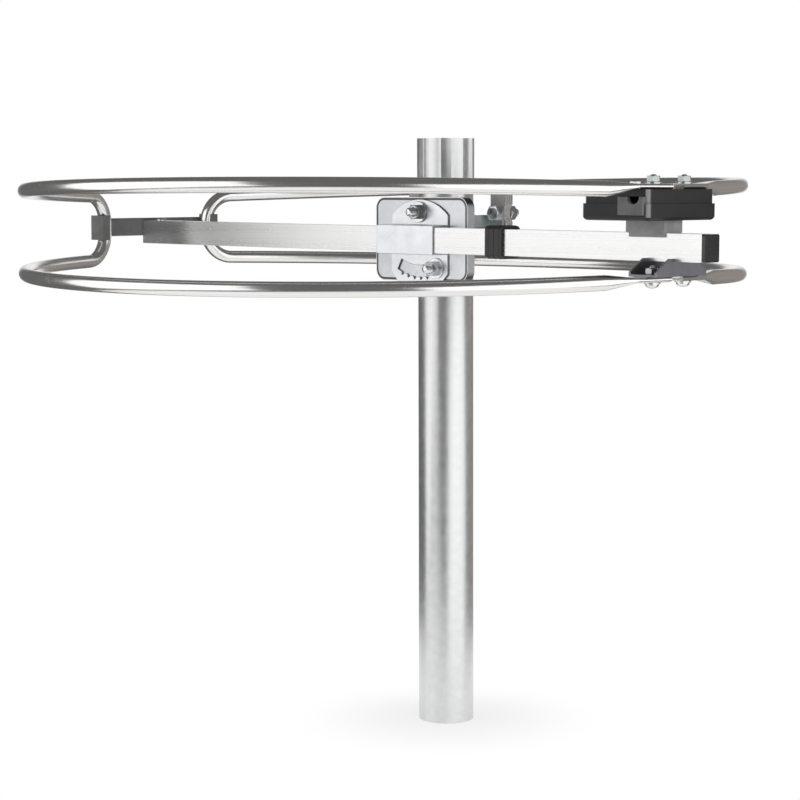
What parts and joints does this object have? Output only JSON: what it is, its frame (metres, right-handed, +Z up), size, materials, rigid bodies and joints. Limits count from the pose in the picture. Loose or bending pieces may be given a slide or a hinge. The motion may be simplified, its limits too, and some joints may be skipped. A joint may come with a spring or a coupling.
{
  "type": "outdoor antenna",
  "caption": "Ring-shaped folded dipole of bent aluminium tube on a square boom with a feed box, clamped to a mast piece on which it turns and tilts.",
  "frame": {"origin": "centre of the mast piece's lower end", "axes": "+Z up the mast, +X along the boom towards the feed box, +Y from the boom towards the mast's rear jaw"},
  "size_m": [0.5513, 0.5199, 0.425],
  "materials": {
    "galvanised_steel": "hot-dip galvanised, smooth",
    "zinc_steel": "bright zinc plated",
    "passivated_steel": "zinc plated, faint green passivation",
    "cast_metal": "cast, dark grey",
    "bright_steel": "bright zinc plated",
    "boom_aluminium": "mill finish",
    "tube_aluminium": "drawn, polished",
    "cap_plastic": "glossy black",
    "clip_plastic": "black",
    "spacer_plastic": "dark grey",
    "box_plastic": "satin dark grey",
    "inlet_plastic": "mid grey",
    "board": "green circuit board",
    "ferrite": "dark ferrite",
    "bracket_steel": "galvanised"
  },
  "bodies": {
    "mast": {"mast_tube": "galvanised_steel"},
    "clamp": {"clamp_plate": "zinc_steel", "clamp_arm_left": "passivated_steel", "clamp_arm_right": "passivated_steel", "jaw_bolts": "bright_steel", "pivot_bolt": "bright_steel", "pivot_washer": "passivated_steel", "pivot_nut": "passivated_steel", "slot_bolt": "bright_steel", "slot_washer": "passivated_steel", "slot_nut": "passivated_steel"},
    "jaw": {"rear_jaw": "cast_metal", "jaw_washers": "bright_steel", "jaw_nuts": "bright_steel"},
    "antenna": {"boom_saddle": "zinc_steel", "boom_tube": "boom_aluminium", "boom_end_cap": "cap_plastic", "end_spacer": "spacer_plastic", "spacer_screw": "bright_steel", "half_loop_front": "tube_aluminium", "half_loop_rear": "tube_aluminium", "feed_box_base": "box_plastic", "feed_box_lid": "box_plastic", "lid_screw": "bright_steel", "cable_gland": "inlet_plastic", "box_pedestal": "box_plastic", "pedestal_screws": "bright_steel", "terminal_bolts": "bright_steel", "terminal_washers": "bright_steel", "terminal_nuts": "bright_steel", "balun_board": "board", "balun_core": "ferrite", "coax_clamp": "zinc_steel", "joint_bracket": "bracket_steel", "joint_bolts": "bright_steel", "joint_nuts": "passivated_steel", "bracket_screw": "bright_steel"},
    "clip": {"cable_clip": "clip_plastic"}
  },
  "joints": [
    {"name": "mast_turn", "type": "hinge", "parent": "mast", "child": "clamp", "pos_m": [0, 0, 0.353], "axis": [0, 0, 1], "continuous": true},
    {"name": "jaw_open", "type": "slide", "parent": "clamp", "child": "jaw", "axis": [0, 1, 0], "range_m": [0, 0.005]},
    {"name": "boom_tilt", "type": "hinge", "parent": "clamp", "child": "antenna", "pos_m": [0, -0.03445, 0.3725], "axis": [0, -1, 0], "range_deg": [0, 45]},
    {"name": "clip_slide", "type": "slide", "parent": "antenna", "child": "clip", "axis": [1, 0, -0.0079], "range_m": [-0.031, 0.105]}
  ]
}
